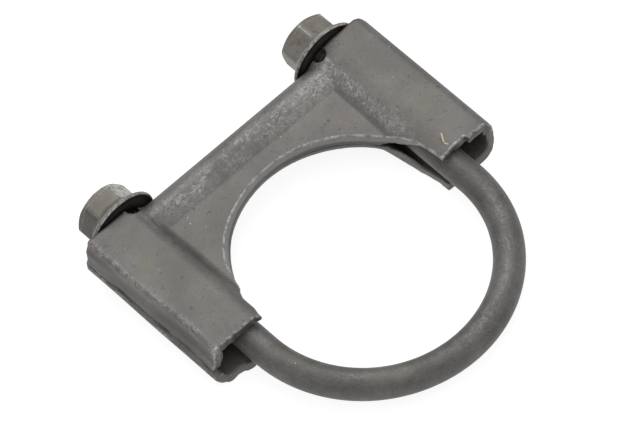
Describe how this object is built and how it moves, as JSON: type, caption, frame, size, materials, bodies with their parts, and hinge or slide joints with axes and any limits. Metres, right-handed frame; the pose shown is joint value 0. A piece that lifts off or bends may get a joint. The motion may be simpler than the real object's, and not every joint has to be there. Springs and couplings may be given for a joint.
{
  "type": "u-bolt pipe clamp",
  "caption": "U-bolt exhaust clamp: bent round bar with threaded legs, folded sheet-steel saddle sliding on them, and wide-flange hex nuts that draw it onto a pipe.",
  "frame": {"origin": "on the axis of the saddle's round pipe seat, in the plane of the legs' axes, with the clamp 7 mm open as it is stored", "axes": "+Z along the pipe's axis, up from the surface the clamp lies on; +X across the clamp from the left leg to the right one; +Y along the legs towards the nuts, so that the bow is at -Y"},
  "size_m": [0.101, 0.104, 0.0218],
  "materials": {
    "rod_steel": "bare drawn steel bar, dark grey mill finish, satin, lightly scuffed",
    "saddle_steel": "bare hot-rolled steel sheet, dark warm grey oxide, satin, scuffed on its high spots",
    "nut_steel": "bare steel, dark warm grey, satin, faint rust tint"
  },
  "bodies": {
    "u_bolt": {"u_bolt": "rod_steel"},
    "saddle": {"saddle": "saddle_steel"},
    "nut_left": {"nut_left": "nut_steel"},
    "nut_right": {"nut_right": "nut_steel"}
  },
  "joints": [
    {"name": "saddle_slide", "type": "slide", "parent": "u_bolt", "child": "saddle", "axis": [0, 1, 0], "range_m": [-0.018, 0]},
    {"name": "nut_left_turn", "type": "hinge", "parent": "saddle", "child": "nut_left", "pos_m": [-0.0363, 0.047, 0], "axis": [0, 1, 0], "range_deg": [-4082.9, 0]},
    {"name": "nut_right_turn", "type": "hinge", "parent": "saddle", "child": "nut_right", "pos_m": [0.0363, 0.047, 0], "axis": [0, 1, 0], "range_deg": [-4082.9, 0]}
  ],
  "couplings": [
    {"joint": "nut_left_turn", "follows": "saddle_slide", "rad_per_m": 3957.9},
    {"joint": "nut_right_turn", "follows": "saddle_slide", "rad_per_m": 3957.9}
  ]
}
